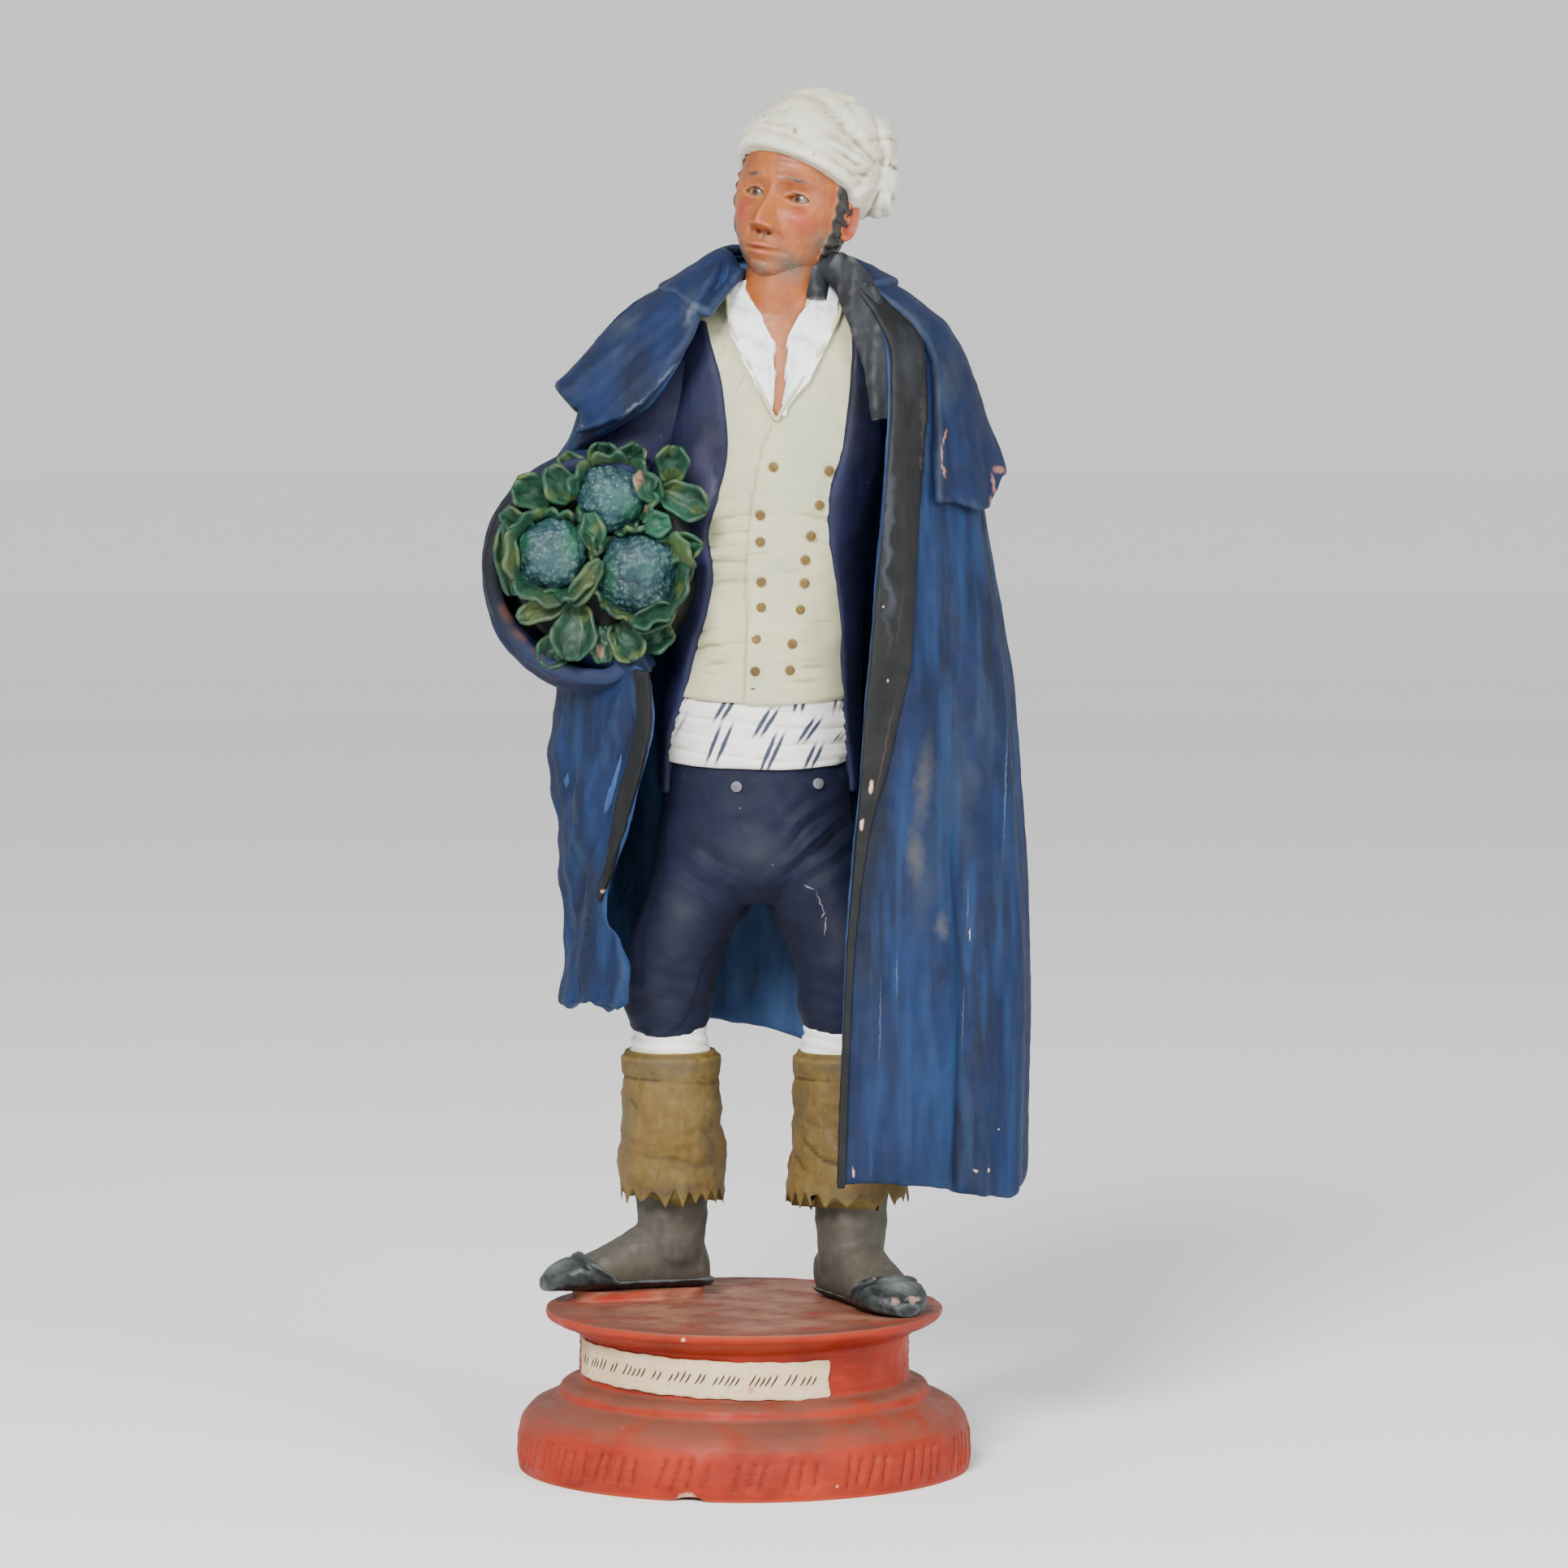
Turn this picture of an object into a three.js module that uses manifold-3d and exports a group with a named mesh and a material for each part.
// A painted terracotta figurine of a market seller: a standing man in a blue cloak who holds a bundle of
// cauliflowers on his hip, on a round moulded plinth with a paper label.
// Units are millimetres. The origin is the centre of the plinth's underside, +Z is up and -Y is the front.
// The figure was modelled from separate slabs and rolls of clay that were luted together and fired as one
// body, so each of them is formed below from a primitive and all of them are joined into one solid.

import * as THREE from "three";
import { mergeVertices } from "three/addons/utils/BufferGeometryUtils.js";
import Module from "manifold-3d";

// Driving dimensions
const PLINTH_RADIUS = 50;
const PLINTH_TOP = 35;
const PAD_HEIGHT = 2.2;
const SHEET = 1.9;
const CAPE_SHEET = 3.4;
const GAP = 0.3;
const SEAM = 0.08;
const BODY_Y = 6;
const CLOAK_TOP = 264;

const { PI, sin, cos, asin, abs, sqrt, min, max, exp, sign, hypot } = Math;
const DEGREE = PI / 180;
const at = (x, y, z) => new THREE.Vector3(x, y, z);
const lerp = THREE.MathUtils.lerp;
const bump = (value, centre, width) => exp(-(((value - centre) / width) ** 2));

const wasm = await Module();
wasm.setup();

// Stations are rows of [z, value, value, ...]. The result gives every column at any z, on a smooth curve
// that never runs past the rows it was given.
function through(rows) {
  const sorted = [...rows].sort((a, b) => a[0] - b[0]);
  const z = sorted.map((row) => row[0]);
  const slopes = sorted.map((row, i) =>
    row.slice(1).map((value, k) => {
      if (i === 0 || i === sorted.length - 1) return 0;
      const before = (value - sorted[i - 1][k + 1]) / (z[i] - z[i - 1]);
      const after = (sorted[i + 1][k + 1] - value) / (z[i + 1] - z[i]);
      return before * after <= 0 ? 0 : (2 * before * after) / (before + after);
    }),
  );
  return (height) => {
    const h = min(max(height, z[0]), z[z.length - 1]);
    let i = 0;
    while (i < z.length - 2 && h > z[i + 1]) i += 1;
    const span = z[i + 1] - z[i];
    const t = (h - z[i]) / span;
    return sorted[i].slice(1).map((value, k) => {
      const next = sorted[i + 1][k + 1];
      const rise = (t ** 3 - 2 * t ** 2 + t) * slopes[i][k] + (t ** 3 - t ** 2) * slopes[i + 1][k];
      return (2 * t ** 3 - 3 * t ** 2 + 1) * value + (3 * t ** 2 - 2 * t ** 3) * next + rise * span;
    });
  };
}

// Presses a primitive into form: every vertex goes where place says, and the surface stays closed.
function formed(geometry, place) {
  const bare = new THREE.BufferGeometry();
  bare.setAttribute("position", geometry.getAttribute("position"));
  bare.setIndex(geometry.getIndex());
  const merged = mergeVertices(bare, 1e-4);
  const position = merged.getAttribute("position");
  for (let i = 0; i < position.count; i += 1) {
    const p = place(at(position.getX(i), position.getY(i), position.getZ(i)));
    position.setXYZ(i, p.x, p.y, p.z);
  }
  return merged;
}

// A closed geometry as a solid that can be joined and cut.
function clay(geometry) {
  const merged = mergeVertices(geometry, 1e-4);
  const made = new wasm.Manifold(
    new wasm.Mesh({
      numProp: 3,
      vertProperties: new Float32Array(merged.getAttribute("position").array),
      triVerts: new Uint32Array(merged.getIndex().array),
    }),
  );
  if (made.volume() >= 0) return made;
  const index = merged.getIndex();
  for (let i = 0; i < index.count; i += 3) {
    const second = index.getX(i + 1);
    index.setX(i + 1, index.getX(i + 2));
    index.setX(i + 2, second);
  }
  return clay(merged);
}

function meshOf(name, solid, material) {
  const made = solid.getMesh();
  const geometry = new THREE.BufferGeometry();
  geometry.setAttribute("position", new THREE.BufferAttribute(made.vertProperties, 3));
  geometry.setIndex(new THREE.BufferAttribute(made.triVerts, 1));
  geometry.computeVertexNormals();
  const mesh = new THREE.Mesh(geometry, material);
  mesh.name = name;
  return mesh;
}

// A roll of clay with level oval sections. Rows are [z, centre x, centre y, half width, half depth].
function roll(rows, sides, steps, shift = () => 0) {
  const section = through(rows);
  const low = min(...rows.map((row) => row[0]));
  const high = max(...rows.map((row) => row[0]));
  const primitive = new THREE.CylinderGeometry(1, 1, 1, sides, steps).rotateX(PI / 2);
  return clay(
    formed(primitive, (p) => {
      const z = lerp(low, high, p.z + 0.5);
      const [x, y, wide, deep] = section(z);
      return at(x + p.x * wide, y + p.y * deep, z + shift(p, z));
    }),
  );
}

// A rolled-out slab of clay. Place gives one face for u and v from 0 to 1, and the other face lies the
// slab's thickness away on the side of u x v, or on the other side where the thickness is negative.
function slab(across, down, thickness, place) {
  const step = 1e-3;
  const normal = (u, v) => {
    const alongU = place(min(u + step, 1), v).sub(place(max(u - step, 0), v));
    const alongV = place(u, min(v + step, 1)).sub(place(u, max(v - step, 0)));
    return alongU.cross(alongV).normalize();
  };
  const primitive = new THREE.BoxGeometry(1, 1, 1, across, down, 1);
  return clay(
    formed(primitive, (p) => {
      const [u, v] = [p.x + 0.5, 0.5 - p.y];
      return p.z > 0 ? place(u, v) : place(u, v).addScaledVector(normal(u, v), thickness);
    }),
  );
}

const union = (solids) => solids.reduce((whole, next) => whole.add(next));

// Body under the clothes: hips, waist and chest, as rows of [z, x, y, half width, half depth]
const HIPS = [
  [124.5, 3.2, BODY_Y, 10, 9],
  [128, 3.3, BODY_Y, 17.4, 12.8],
  [133, 3.4, BODY_Y, 22.8, 14.8],
  [138, 3.5, BODY_Y, 22.6, 15.4],
  [144, 3.5, BODY_Y, 21.6, 15.4],
  [153, 3.6, BODY_Y, 21, 15.2],
  [159, 3.7, BODY_Y, 20.2, 14.6],
];
const SASH = [
  [153.2, 3.5, BODY_Y, 21, 15.7],
  [159.6, 3.6, BODY_Y, 21.2, 16],
  [168, 3.9, 5.6, 20.4, 15.6],
  [173.6, 4, 5.4, 19.4, 14.8],
];
const CHEST = [
  [168.6, 3.9, 5.3, 20.6, 16.3],
  [177, 4.1, 5.2, 20.2, 15.9],
  [186, 4.5, 4.8, 20, 15.6],
  [204, 5.2, 4.4, 21.2, 16],
  [222, 6.4, 4, 23.4, 16.2],
  [238, 7.4, 4, 24.6, 15],
  [248, 7.8, 4, 22.5, 12.4],
  [257, 8, 3.4, 13, 9],
];
const BODY_SECTION = through([...HIPS.slice(3, -1), ...SASH.slice(1, -1), ...CHEST.slice(1)]);

// The y of the body's front under a point
function bodyFront(x, z) {
  const [centre, y, wide, deep] = BODY_SECTION(z);
  return y - deep * sqrt(max(0.05, 1 - ((x - centre) / wide) ** 2));
}

function torso() {
  const dip = (p, z) => (z < 170.6 ? -2.6 * max(0, -p.y) : 0);
  return union([
    roll(HIPS, 14, 3),
    roll(SASH, 14, 2, (p) => -1.6 * max(0, -p.y)),
    roll(CHEST, 16, 6, dip),
    roll([[244, 7, 2, 9.5, 9], [252, 7, 0.6, 7.6, 7.8], [262, 8, -0.6, 7.6, 8]], 10, 2),
  ]);
}

// A leg in knee breeches, stocking and loose gaiter. Rows are [z, x, y, half width, half depth].
const TEETH = 12;
function leg({ breeches, knee, ankle, flare }) {
  const hem = (p, z) => (z < 60 ? 1.2 * cos(TEETH * Math.atan2(p.y, p.x)) * hypot(p.x, p.y) : 0);
  const wrinkle = (z) => 0.35 * sin(z * 1.1);
  const gaiter = [
    [59, ankle.x, ankle.y, 11.2 + flare, 11.4 + flare / 2],
    [65, ankle.x, ankle.y, 11.6 + flare / 2, 12.2],
    [76, lerp(ankle.x, knee.x, 0.4), knee.y + 1, 11, 12],
    [86, lerp(ankle.x, knee.x, 0.6), knee.y + 1, 11, 11.6],
    [90.5, lerp(ankle.x, knee.x, 0.7), knee.y + 1, 9.8, 10.4],
  ].map(([z, x, y, wide, deep]) => [z, x, y, wide + wrinkle(z), deep + wrinkle(z)]);
  return union([
    roll(breeches, 12, 5, (p, z) => (z < 97 ? -1.4 * max(0, -p.y) : 0)),
    roll([[87, knee.x, knee.y + 1, 9.1, 9.4], [97, knee.x, knee.y, 8, 8.6]], 12, 1),
    roll(gaiter, TEETH * 2, 1, hem),
  ]);
}
const RIGHT_LEG = {
  breeches: [
    [95.5, -16.8, 9, 8.3, 8.8],
    [99, -16.7, 9, 9.5, 10],
    [107, -16, 9, 10.3, 11],
    [115.6, -14, 8.4, 11, 12],
    [124, -9.8, 7.4, 12.2, 13.2],
    [133, -6.6, 6.4, 12.6, 14],
    [146, -3, BODY_Y, 10, 12],
  ],
  knee: at(-16.4, 9, 0),
  ankle: at(-15.8, 12, 0),
  flare: 0,
};
const LEFT_LEG = {
  breeches: [
    [96.5, 21, 7, 8.4, 8.8],
    [100, 21.4, 7, 9.5, 10],
    [107, 21.8, 7, 10.3, 11],
    [115.6, 20.1, 6.8, 11, 12],
    [124, 16.8, 6.4, 12.4, 13],
    [133, 14, BODY_Y, 12.4, 14],
    [146, 10, BODY_Y, 10, 12],
  ],
  knee: at(21.2, 7, 0),
  ankle: at(22.7, 7, 0),
  flare: 2,
};

// A shoe with an ankle boot above it, made along +X from the heel and turned to its direction
function shoe({ heel, turn, sole, length, ankle }) {
  const shape = through([
    [0, 3.4, 6],
    [0.06, 5, 9.5],
    [0.25, 5.8, 15],
    [0.42, 6, 15],
    [0.58, 6.4, 12],
    [0.72, 7, 9.4],
    [0.86, 6.6, 7.4],
    [0.96, 4.6, 5.6],
    [1, 2.4, 3.6],
  ]);
  const primitive = new THREE.CylinderGeometry(1, 1, 1, 10, 8).rotateZ(PI / 2);
  const frame = new THREE.Matrix4().makeRotationZ(turn).setPosition(heel.x, heel.y, sole);
  const foot = formed(primitive, (p) => {
    const along = 0.5 - p.x;
    const [wide, high] = shape(along);
    const lift = 0.5 + 0.5 * sign(p.z) * abs(p.z) ** 0.75;
    return at(along * length, p.y * wide, high * lift).applyMatrix4(frame);
  });
  const shaft = roll(
    [
      [sole + 7, ankle.x, ankle.y, 7.6, 7.4],
      [sole + 14, ankle.x, ankle.y, 7.4, 7.2],
      [60, ankle.x, ankle.y, 8, 8],
    ],
    10,
    2,
  );
  return union([clay(foot), shaft]);
}

function legs() {
  return union([
    leg(RIGHT_LEG),
    leg(LEFT_LEG),
    shoe({
      heel: at(-8.2, 16.5, 0),
      turn: PI + 14 * DEGREE,
      sole: PLINTH_TOP + PAD_HEIGHT,
      length: 36.5,
      ankle: at(-16, 14, 0),
    }),
    shoe({
      heel: at(19, 16, 0),
      turn: -64 * DEGREE,
      sole: PLINTH_TOP,
      length: 37,
      ankle: at(23.6, 7.5, 0),
    }),
  ]);
}

// The right jacket sleeve, a round roll along a path from the shoulder into the pouch. The cloak hides
// the left one.
function sleeve(points, radius) {
  const path = new THREE.CatmullRomCurve3(points);
  const primitive = new THREE.CylinderGeometry(1, 1, 1, 12, 4);
  return clay(
    formed(primitive, (p) => {
      const t = 0.5 - p.y;
      const centre = path.getPoint(t);
      const along = path.getTangent(t);
      const side = at(0, 1, 0).cross(along).normalize();
      const other = along.clone().cross(side);
      const r = lerp(radius, radius * 0.85, t);
      return centre.addScaledVector(side, p.x * r).addScaledVector(other, p.z * r);
    }),
  );
}

// The open jacket lies on the waistcoat. Rows are [z, x of its right front edge, x of its left front edge].
const JACKET_EDGES = through([
  [148, -17.4, 24],
  [160, -16.8, 22.8],
  [170, -13.6, 22.1],
  [180, -11.2, 21.6],
  [188, -8.6, 21.2],
  [196, -7.3, 20],
  [205, -8.5, 18.8],
  [211, -6.6, 18.6],
  [224, -3.6, 22],
  [238, -4.8, 23.5],
  [252, -8.4, 24],
]);
const JACKET_LOOSE = 1.5;

function jacket() {
  return slab(10, 5, -2.4, (u, v) => {
    const z = lerp(252, 148, v);
    const [x, y, wide, deep] = BODY_SECTION(z);
    const [right, left] = JACKET_EDGES(z);
    const ring = wide + JACKET_LOOSE;
    const start = asin(min(1, (x - right) / ring)) - PI;
    const end = PI - asin(min(1, (left - x) / ring));
    const angle = lerp(start, end, u);
    return at(x + sin(angle) * ring, y + cos(angle) * (deep + JACKET_LOOSE), z);
  });
}

// The cloak hangs as an open ring round the body. Rows are [z, left, right, back, front]: how far it
// reaches to each side. The left side swells where it goes round the bundle.
const CLOAK_CENTRE_X = 6;
const CLOAK_REACH = through([
  [265, -5, 22, 15, -8],
  [260, -13.4, 29.4, 19, -12],
  [254, -22.4, 38.4, 23, -15],
  [247, -28.6, 44.4, 27, -18],
  [236, -34.8, 48.4, 30, -20.5],
  [224, -39, 51, 32, -22],
  [212, -50, 52.6, 34, -23],
  [197, -57, 54.8, 35, -23.5],
  [183, -50, 56.8, 36, -24],
  [172, -41, 58.4, 36, -24],
  [150, -40.8, 60, 36, -24],
  [125, -38, 61.8, 36.5, -24],
  [100, -39.6, 62.6, 37, -24],
  [58, -41, 61.8, 38, -24],
]);
// Rows are [z, x of its right front edge, x of its left front edge]
const CLOAK_EDGES = through([
  [265, -3, 20],
  [252, -10, 28],
  [243, -14, 31.5],
  [232, -22, 31.5],
  [225, -35, 31],
  [212, -50, 30],
  [195, -56, 28.4],
  [184, -49, 27.4],
  [176, -37, 26.6],
  [166, -21, 25.6],
  [150, -20.7, 24.8],
  [124, -29, 22.6],
  [116, -27, 22],
  [100, -25, 21.2],
  [58, -25, 20],
]);
// Height of the hem, from the right front edge at 0 round the back to the left front edge at 1
const CLOAK_HEM = through([
  [0, 102.5],
  [0.12, 101.5],
  [0.3, 98],
  [0.46, 91.5],
  [0.58, 79],
  [0.7, 66],
  [0.8, 60.5],
  [0.88, 62.5],
  [1, 64.5],
]);

// A point of the cloak's ring, which spread moves out or in
function ringPoint(angle, z, [left, right, back, front], spread) {
  const x = sin(angle) < 0 ? CLOAK_CENTRE_X - left : right - CLOAK_CENTRE_X;
  const y = cos(angle) > 0 ? back - BODY_Y : BODY_Y - front;
  return at(
    CLOAK_CENTRE_X + sin(angle) * (x + spread),
    BODY_Y + cos(angle) * (y + spread),
    z,
  );
}

function edgeAngles(z, reach, edges) {
  const [left, right] = reach(z);
  const [rightEdge, leftEdge] = edges(z);
  const start = asin(min(1, (CLOAK_CENTRE_X - rightEdge) / (CLOAK_CENTRE_X - left)));
  const end = asin(min(1, (leftEdge - CLOAK_CENTRE_X) / (right - CLOAK_CENTRE_X)));
  return [-(PI - start), PI - end];
}

// Folds deepen towards the hem. The deepest is a pleat on the left side.
function folds(angle, z) {
  const depth = 1.9 * (1 - bump(z, 265, 70));
  const soft = 0.6 * sin(7 * angle + 0.4) + 0.4 * sin(12 * angle + 2);
  const pleat = bump(angle / DEGREE, 131, 5) * bump(z, 58, 95);
  return depth * (soft - 0.1) - 2.4 * pleat;
}

function cloak() {
  return slab(27, 9, -SHEET, (u, v) => {
    const hem = CLOAK_HEM(u)[0];
    const z = lerp(CLOAK_TOP, hem, v ** 1.3);
    const [start, end] = edgeAngles(z, CLOAK_REACH, CLOAK_EDGES);
    const angle = lerp(start, end, u);
    return ringPoint(angle, z, CLOAK_REACH(z), folds(angle, z));
  });
}

// The facing is a band along the cloak's left front edge. It narrows downwards.
const FACING_WIDTH = through([[60, 1.4], [124, 1.6], [142, 2.6], [160, 6.4], [177, 8.6], [222, 8.8], [250, 8]]);
function facing() {
  return slab(1, 9, -1.6, (u, v) => {
    const z = lerp(248, 62, v);
    const end = edgeAngles(z, CLOAK_REACH, CLOAK_EDGES)[1];
    const turn = FACING_WIDTH(z)[0] / (CLOAK_REACH(z)[1] - CLOAK_CENTRE_X);
    const angle = end - turn * (1 - u) * 1.15;
    return ringPoint(angle, z, CLOAK_REACH(z), folds(angle, z) + 0.7);
  });
}

// The shoulder cape lies on the cloak and flares at its hem
const CAPE_EDGES = through([
  [265, -3, 20],
  [258, -7, 27],
  [250, -9.5, 36],
  [243, -13, 39.5],
  [232, -21, 40],
  [225, -37, 40],
  [206, -46, 39.6],
]);
const CAPE_HEM = through([
  [0, 225],
  [0.06, 229],
  [0.14, 235.4],
  [0.2, 234],
  [0.4, 218],
  [0.6, 214],
  [0.82, 217.4],
  [0.9, 210],
  [1, 212],
]);

function shoulderCape() {
  return slab(20, 4, -CAPE_SHEET, (u, v) => {
    const hem = CAPE_HEM(u)[0];
    const z = lerp(CLOAK_TOP + 0.6, hem, v ** 1.2);
    const [start, end] = edgeAngles(z, CLOAK_REACH, CAPE_EDGES);
    const angle = lerp(start, end, u);
    const flare = 2.2 + 1.2 * v * v;
    const corners = 3.4 * bump(u, 0.15, 0.09) + 2 * bump(u, 0.82, 0.06);
    return ringPoint(angle, z, CLOAK_REACH(z), folds(angle, z) + flare + corners * v ** 3);
  });
}

// The collar stands round the neck and turns down over the cape
// Rows are [u, height of the ridge, its radius, width, fall].
const COLLAR = through([
  [0, 258, 11, 7, 6],
  [0.2, 266, 11, 9.5, 5.4],
  [0.5, 267, 11, 10, 9],
  [0.8, 264, 12.6, 9, 6],
  [1, 257, 13, 6, 4],
]);
function collar() {
  return slab(14, 2, -2.8, (u, v) => {
    const angle = lerp(-138, 132, u) * DEGREE;
    const [top, inner, width, fall] = COLLAR(u);
    const out = inner + width * v;
    return at(8 + sin(angle) * out, 5 + cos(angle) * (out - 1), top - fall * v * v);
  });
}

// Bundle: a pouch of the cloak's cloth round three cauliflowers. Its mouth faces the front, and the
// body closes its inner side. U goes round the mouth from the top, and V from the rim to the back.
const BUNDLE = at(-31.8, -17, 196);
function pouch() {
  return slab(15, 3, 3.7, (u, v) => {
    const round = lerp(62, 294, u) * DEGREE;
    const radius = 26 * sqrt(1 - 0.8 * max(0, v - 0.2) ** 2) - 1.6 * bump(v, 0, 0.14);
    const sag = sin(round) < 0 ? 1.02 : 1;
    return at(
      BUNDLE.x + cos(round) * radius + 3 * v,
      BUNDLE.y + 27 * v - 2 * cos(round) * (1 - v),
      BUNDLE.z + sin(round) * radius * sag,
    );
  });
}

function cauliflower([x, z, radius]) {
  const primitive = new THREE.SphereGeometry(1, 9, 7);
  const curds = (p) => 1 + 0.04 * sin(9 * p.x + 4 * p.z) * cos(8 * p.z - 3 * p.x);
  return clay(
    formed(primitive, (p) => {
      const r = radius * curds(p);
      return at(x + p.x * r, BUNDLE.y + 3 + p.y * r * 0.85, z + p.z * r);
    }),
  );
}

// A cupped leaf: its middle lies back and its rim comes forward
function leaf([x, z, direction, length, width]) {
  const tip = at(cos(direction * DEGREE), 0, sin(direction * DEGREE));
  const side = at(-tip.z, 0, tip.x);
  return slab(2, 2, 3.1, (u, v) => {
    const across = 2 * u - 1;
    const along = 2 * v - 1;
    const half = (width / 2) * sqrt(1 - 0.8 * along ** 4);
    const cup = 2.2 * (1 - across * across) * (1 - along * along) - 0.6 * along;
    return at(x, BUNDLE.y - 2.5 + cup, z)
      .addScaledVector(tip, (along * length) / 2)
      .addScaledVector(side, across * half);
  });
}

function vegetables() {
  const heads = [
    [-42.7, 198.4, 8.6],
    [-22.6, 194.8, 9.6],
    [-28.4, 212, 7.4],
  ];
  const leaves = [
    [-46.6, 211.4, 150, 9, 7], [-39.6, 214, 95, 11, 8], [-16.2, 218.2, 72, 10, 8], [-15.3, 209.3, -12, 10, 8],
    [-14.6, 201, 5, 12, 6], [-15.6, 189.6, 55, 15, 7], [-49.8, 199, 95, 15, 5], [-44, 187.6, 160, 16, 7],
    [-36.4, 181.4, -95, 12, 9], [-26.6, 180, -80, 11, 9],
  ];
  const core = formed(new THREE.SphereGeometry(1, 12, 8), (p) =>
    at(-31 + p.x * 23, BUNDLE.y + 13 + 11 * max(-1, p.y * 1.8), 196.5 + p.z * 23),
  );
  return union([clay(core), ...heads.map(cauliflower), ...leaves.map(leaf)]);
}

// Head in its own frame: X to its left, -Y to its front, Z up. The face is a plain one on even proportions.
const HEAD_HEIGHT = 38;
const HEAD_FRAME = new THREE.Matrix4()
  .makeRotationFromEuler(new THREE.Euler(-2 * DEGREE, 11 * DEGREE, -24 * DEGREE, "YXZ"))
  .setPosition(11, 1, 277);

function head() {
  const half = HEAD_HEIGHT / 2;
  const skull = new THREE.SphereGeometry(1, 14, 10).rotateX(PI / 2);
  const face = formed(skull, (p) => {
    const jaw = min(1, max(0, -p.z));
    const front = max(0, -p.y);
    const wide = 12.4 * (1 - 0.2 * jaw * jaw);
    const deep = lerp(15, 13, jaw);
    const place = at(p.x * wide, p.y * deep - (p.y > 0 ? 0 : 0.6 * jaw), p.z * half);
    const chin = bump(p.z, -0.86, 0.2) * bump(p.x, 0, 0.4) * front;
    const brow = bump(p.z, 0.1, 0.1) * bump(abs(p.x), 0.3, 0.3) * front;
    const sockets = bump(p.z, -0.02, 0.1) * bump(abs(p.x), 0.38, 0.16) * front;
    place.y -= 2.2 * chin + 0.8 * brow - 1.4 * sockets;
    return place.applyMatrix4(HEAD_FRAME);
  });
  const nose = formed(new THREE.ConeGeometry(1, 1, 6, 1), (p) => {
    const down = 0.5 - p.y;
    return at(p.x * 2.5, -12.4 - 2.6 * down - p.z * 1.6, 1 - 9.4 * down).applyMatrix4(HEAD_FRAME);
  });
  const ears = [-1, 1].map((side) =>
    formed(new THREE.SphereGeometry(1, 7, 5), (p) =>
      at(side * 12.6 + p.x * 1.6, 1.2 + p.y * 2.4, -2.2 + p.z * 4.2).applyMatrix4(HEAD_FRAME),
    ),
  );
  return union([face, nose, ...ears].map(clay));
}

// The cloth cap: a soft dome with a level band, and its bag bulging behind the ear
const CAP_FRAME = new THREE.Matrix4()
  .makeRotationFromEuler(new THREE.Euler(-4 * DEGREE, 24 * DEGREE, -10 * DEGREE, "YXZ"))
  .setPosition(14.4, 3.4, 285.6);

function cap() {
  const dome = formed(new THREE.SphereGeometry(1, 13, 8).rotateX(PI / 2), (p) => {
    const crumple = 1 + 0.025 * sin(6 * p.x + 5 * p.z) + 0.02 * cos(9 * p.y - 4 * p.z);
    const wide = p.z < -0.4 ? 0.99 : crumple;
    return at(p.x * 15.4 * wide, p.y * 16.6 * wide, max(-0.42, p.z) * 14.6 * crumple).applyMatrix4(CAP_FRAME);
  });
  const bag = formed(new THREE.SphereGeometry(1, 10, 7), (p) =>
    at(25.6 + p.x * 8.6 - p.z * 1.6, 8 + p.y * 9, 284 + p.z * 11),
  );
  return union([clay(dome), clay(bag)]);
}

// The open shirt: two leaves that fold out from the neck, each between two edges given as [z, inner, outer]
const SHIRT_RIGHT = through([
  [230.8, 6.4, 5.6],
  [238.8, 6.8, 1.7],
  [247, 6.8, -2.2],
  [251.6, 4.4, -3.4],
  [258, 1.2, -3],
]);
const SHIRT_LEFT = through([
  [230.8, 8.3, 8.9],
  [238.8, 9, 14.4],
  [247, 9.2, 18.6],
  [251.6, 11, 20.6],
  [258, 16.6, 21],
]);
function shirt() {
  const leaves = [SHIRT_RIGHT, SHIRT_LEFT].map((edges, i) =>
    slab(2, 5, -2.4, (u, v) => {
      const z = lerp(230.6, 258.4, v);
      const [inner, outer] = edges(z);
      const x = i === 0 ? lerp(outer, inner, u) : lerp(inner, outer, u);
      return at(x, bodyFront(x, z) - 1 - 0.5 * sin(PI * v), z);
    }),
  );
  return union(leaves);
}

// All of the clay is one body. A pocket of air that stays sealed between two slabs is pressed out, and
// slivers along the seams are smoothed away.
const largest = (solid) =>
  solid.decompose().reduce((most, next) => (next.volume() > most.volume() ? next : most));

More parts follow.
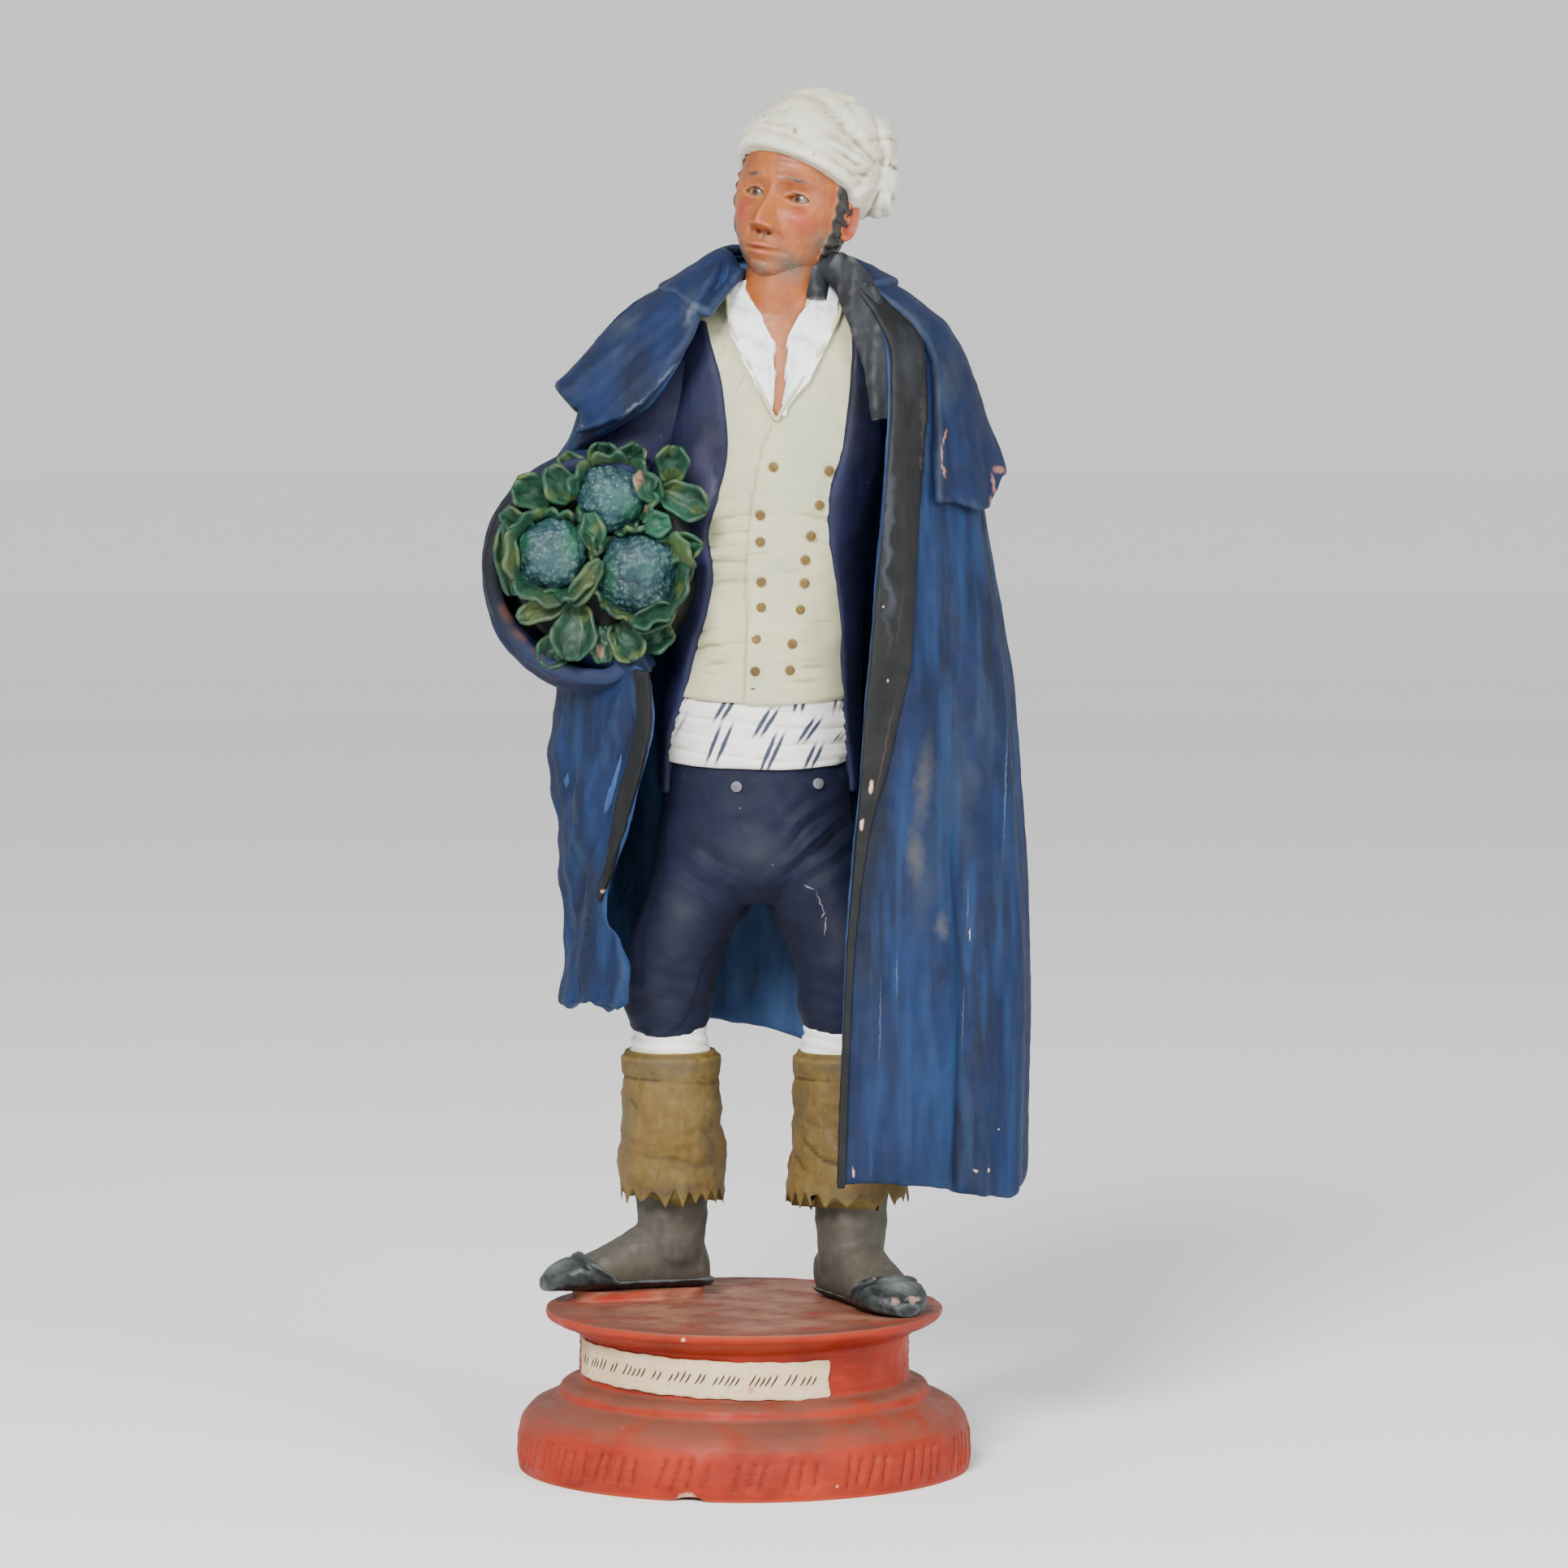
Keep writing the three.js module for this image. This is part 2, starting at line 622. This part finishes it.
function figure() {
  const joined = union([
    torso(),
    legs(),
    jacket(),
    sleeve([at(-10, 5, 240), at(-22, 5, 226), at(-30, 4, 208), at(-32, 2, 196)], 11),
    cloak(),
    shoulderCape(),
    collar(),
    facing(),
    pouch(),
    vegetables(),
    head(),
    cap(),
    shirt(),
  ]);
  return largest(largest(joined).simplify(SEAM));
}

// Plinth, turned from its profile of [radius, z], with the pad of clay that the right shoe is set on
const PROFILE = [
  [0, 0], [49.5, 0], [PLINTH_RADIUS, 2.6], [49.8, 7.5], [48.9, 11], [46.8, 13.6], [44, 15],
  [41.6, 15.7], [40.4, 16.4], [40.9, 17.2], [39.8, 18.6], [37.6, 19.2], [36.2, 19.5],
  [36.2, 29.9], [37.8, 30.3], [38.2, 31], [41.6, 32.2], [43.6, 33.4], [44, 34.3],
  [43.4, PLINTH_TOP], [0, PLINTH_TOP],
];

function plinth() {
  const points = PROFILE.map(([radius, z]) => new THREE.Vector2(radius, z));
  const turned = clay(formed(new THREE.LatheGeometry(points, 32).rotateX(PI / 2), (p) => p));
  const pad = formed(new THREE.CylinderGeometry(1, 1, 1, 20).rotateX(PI / 2), (p) => {
    const spread = p.z < 0 ? 1.06 : 1;
    const reach = at(p.x * 15 * spread, p.y * 6 * spread, 0).applyAxisAngle(at(0, 0, 1), 14 * DEGREE);
    return at(-23.5 + reach.x, 13 + reach.y, p.z < 0 ? PLINTH_TOP - 2 : PLINTH_TOP + PAD_HEIGHT - 0.001);
  });
  return turned.add(clay(pad));
}

// The paper label is pasted round the front of the plinth's neck
const LABEL = { start: -75, end: 30, thick: 0.4 };
const LABEL_BAND = through([[0, 21.4, 29.3], [1, 19.9, 28]]);
function label() {
  return slab(14, 1, LABEL.thick, (u, v) => {
    const angle = lerp(LABEL.start, LABEL.end, u) * DEGREE;
    const radius = 36.2 + GAP + LABEL.thick;
    const [low, high] = LABEL_BAND(u);
    return at(sin(angle) * radius, -cos(angle) * radius, lerp(high, low, v));
  });
}

const paint = (color, roughness) => new THREE.MeshStandardMaterial({ color, roughness, metalness: 0 });

const group = new THREE.Group();
group.add(
  meshOf("figure", figure(), paint(0x2f4f7f, 0.75)),
  meshOf("plinth", plinth(), paint(0xb5402e, 0.7)),
  meshOf("paper_label", label(), paint(0xe8dcc0, 0.9)),
);

export default group;
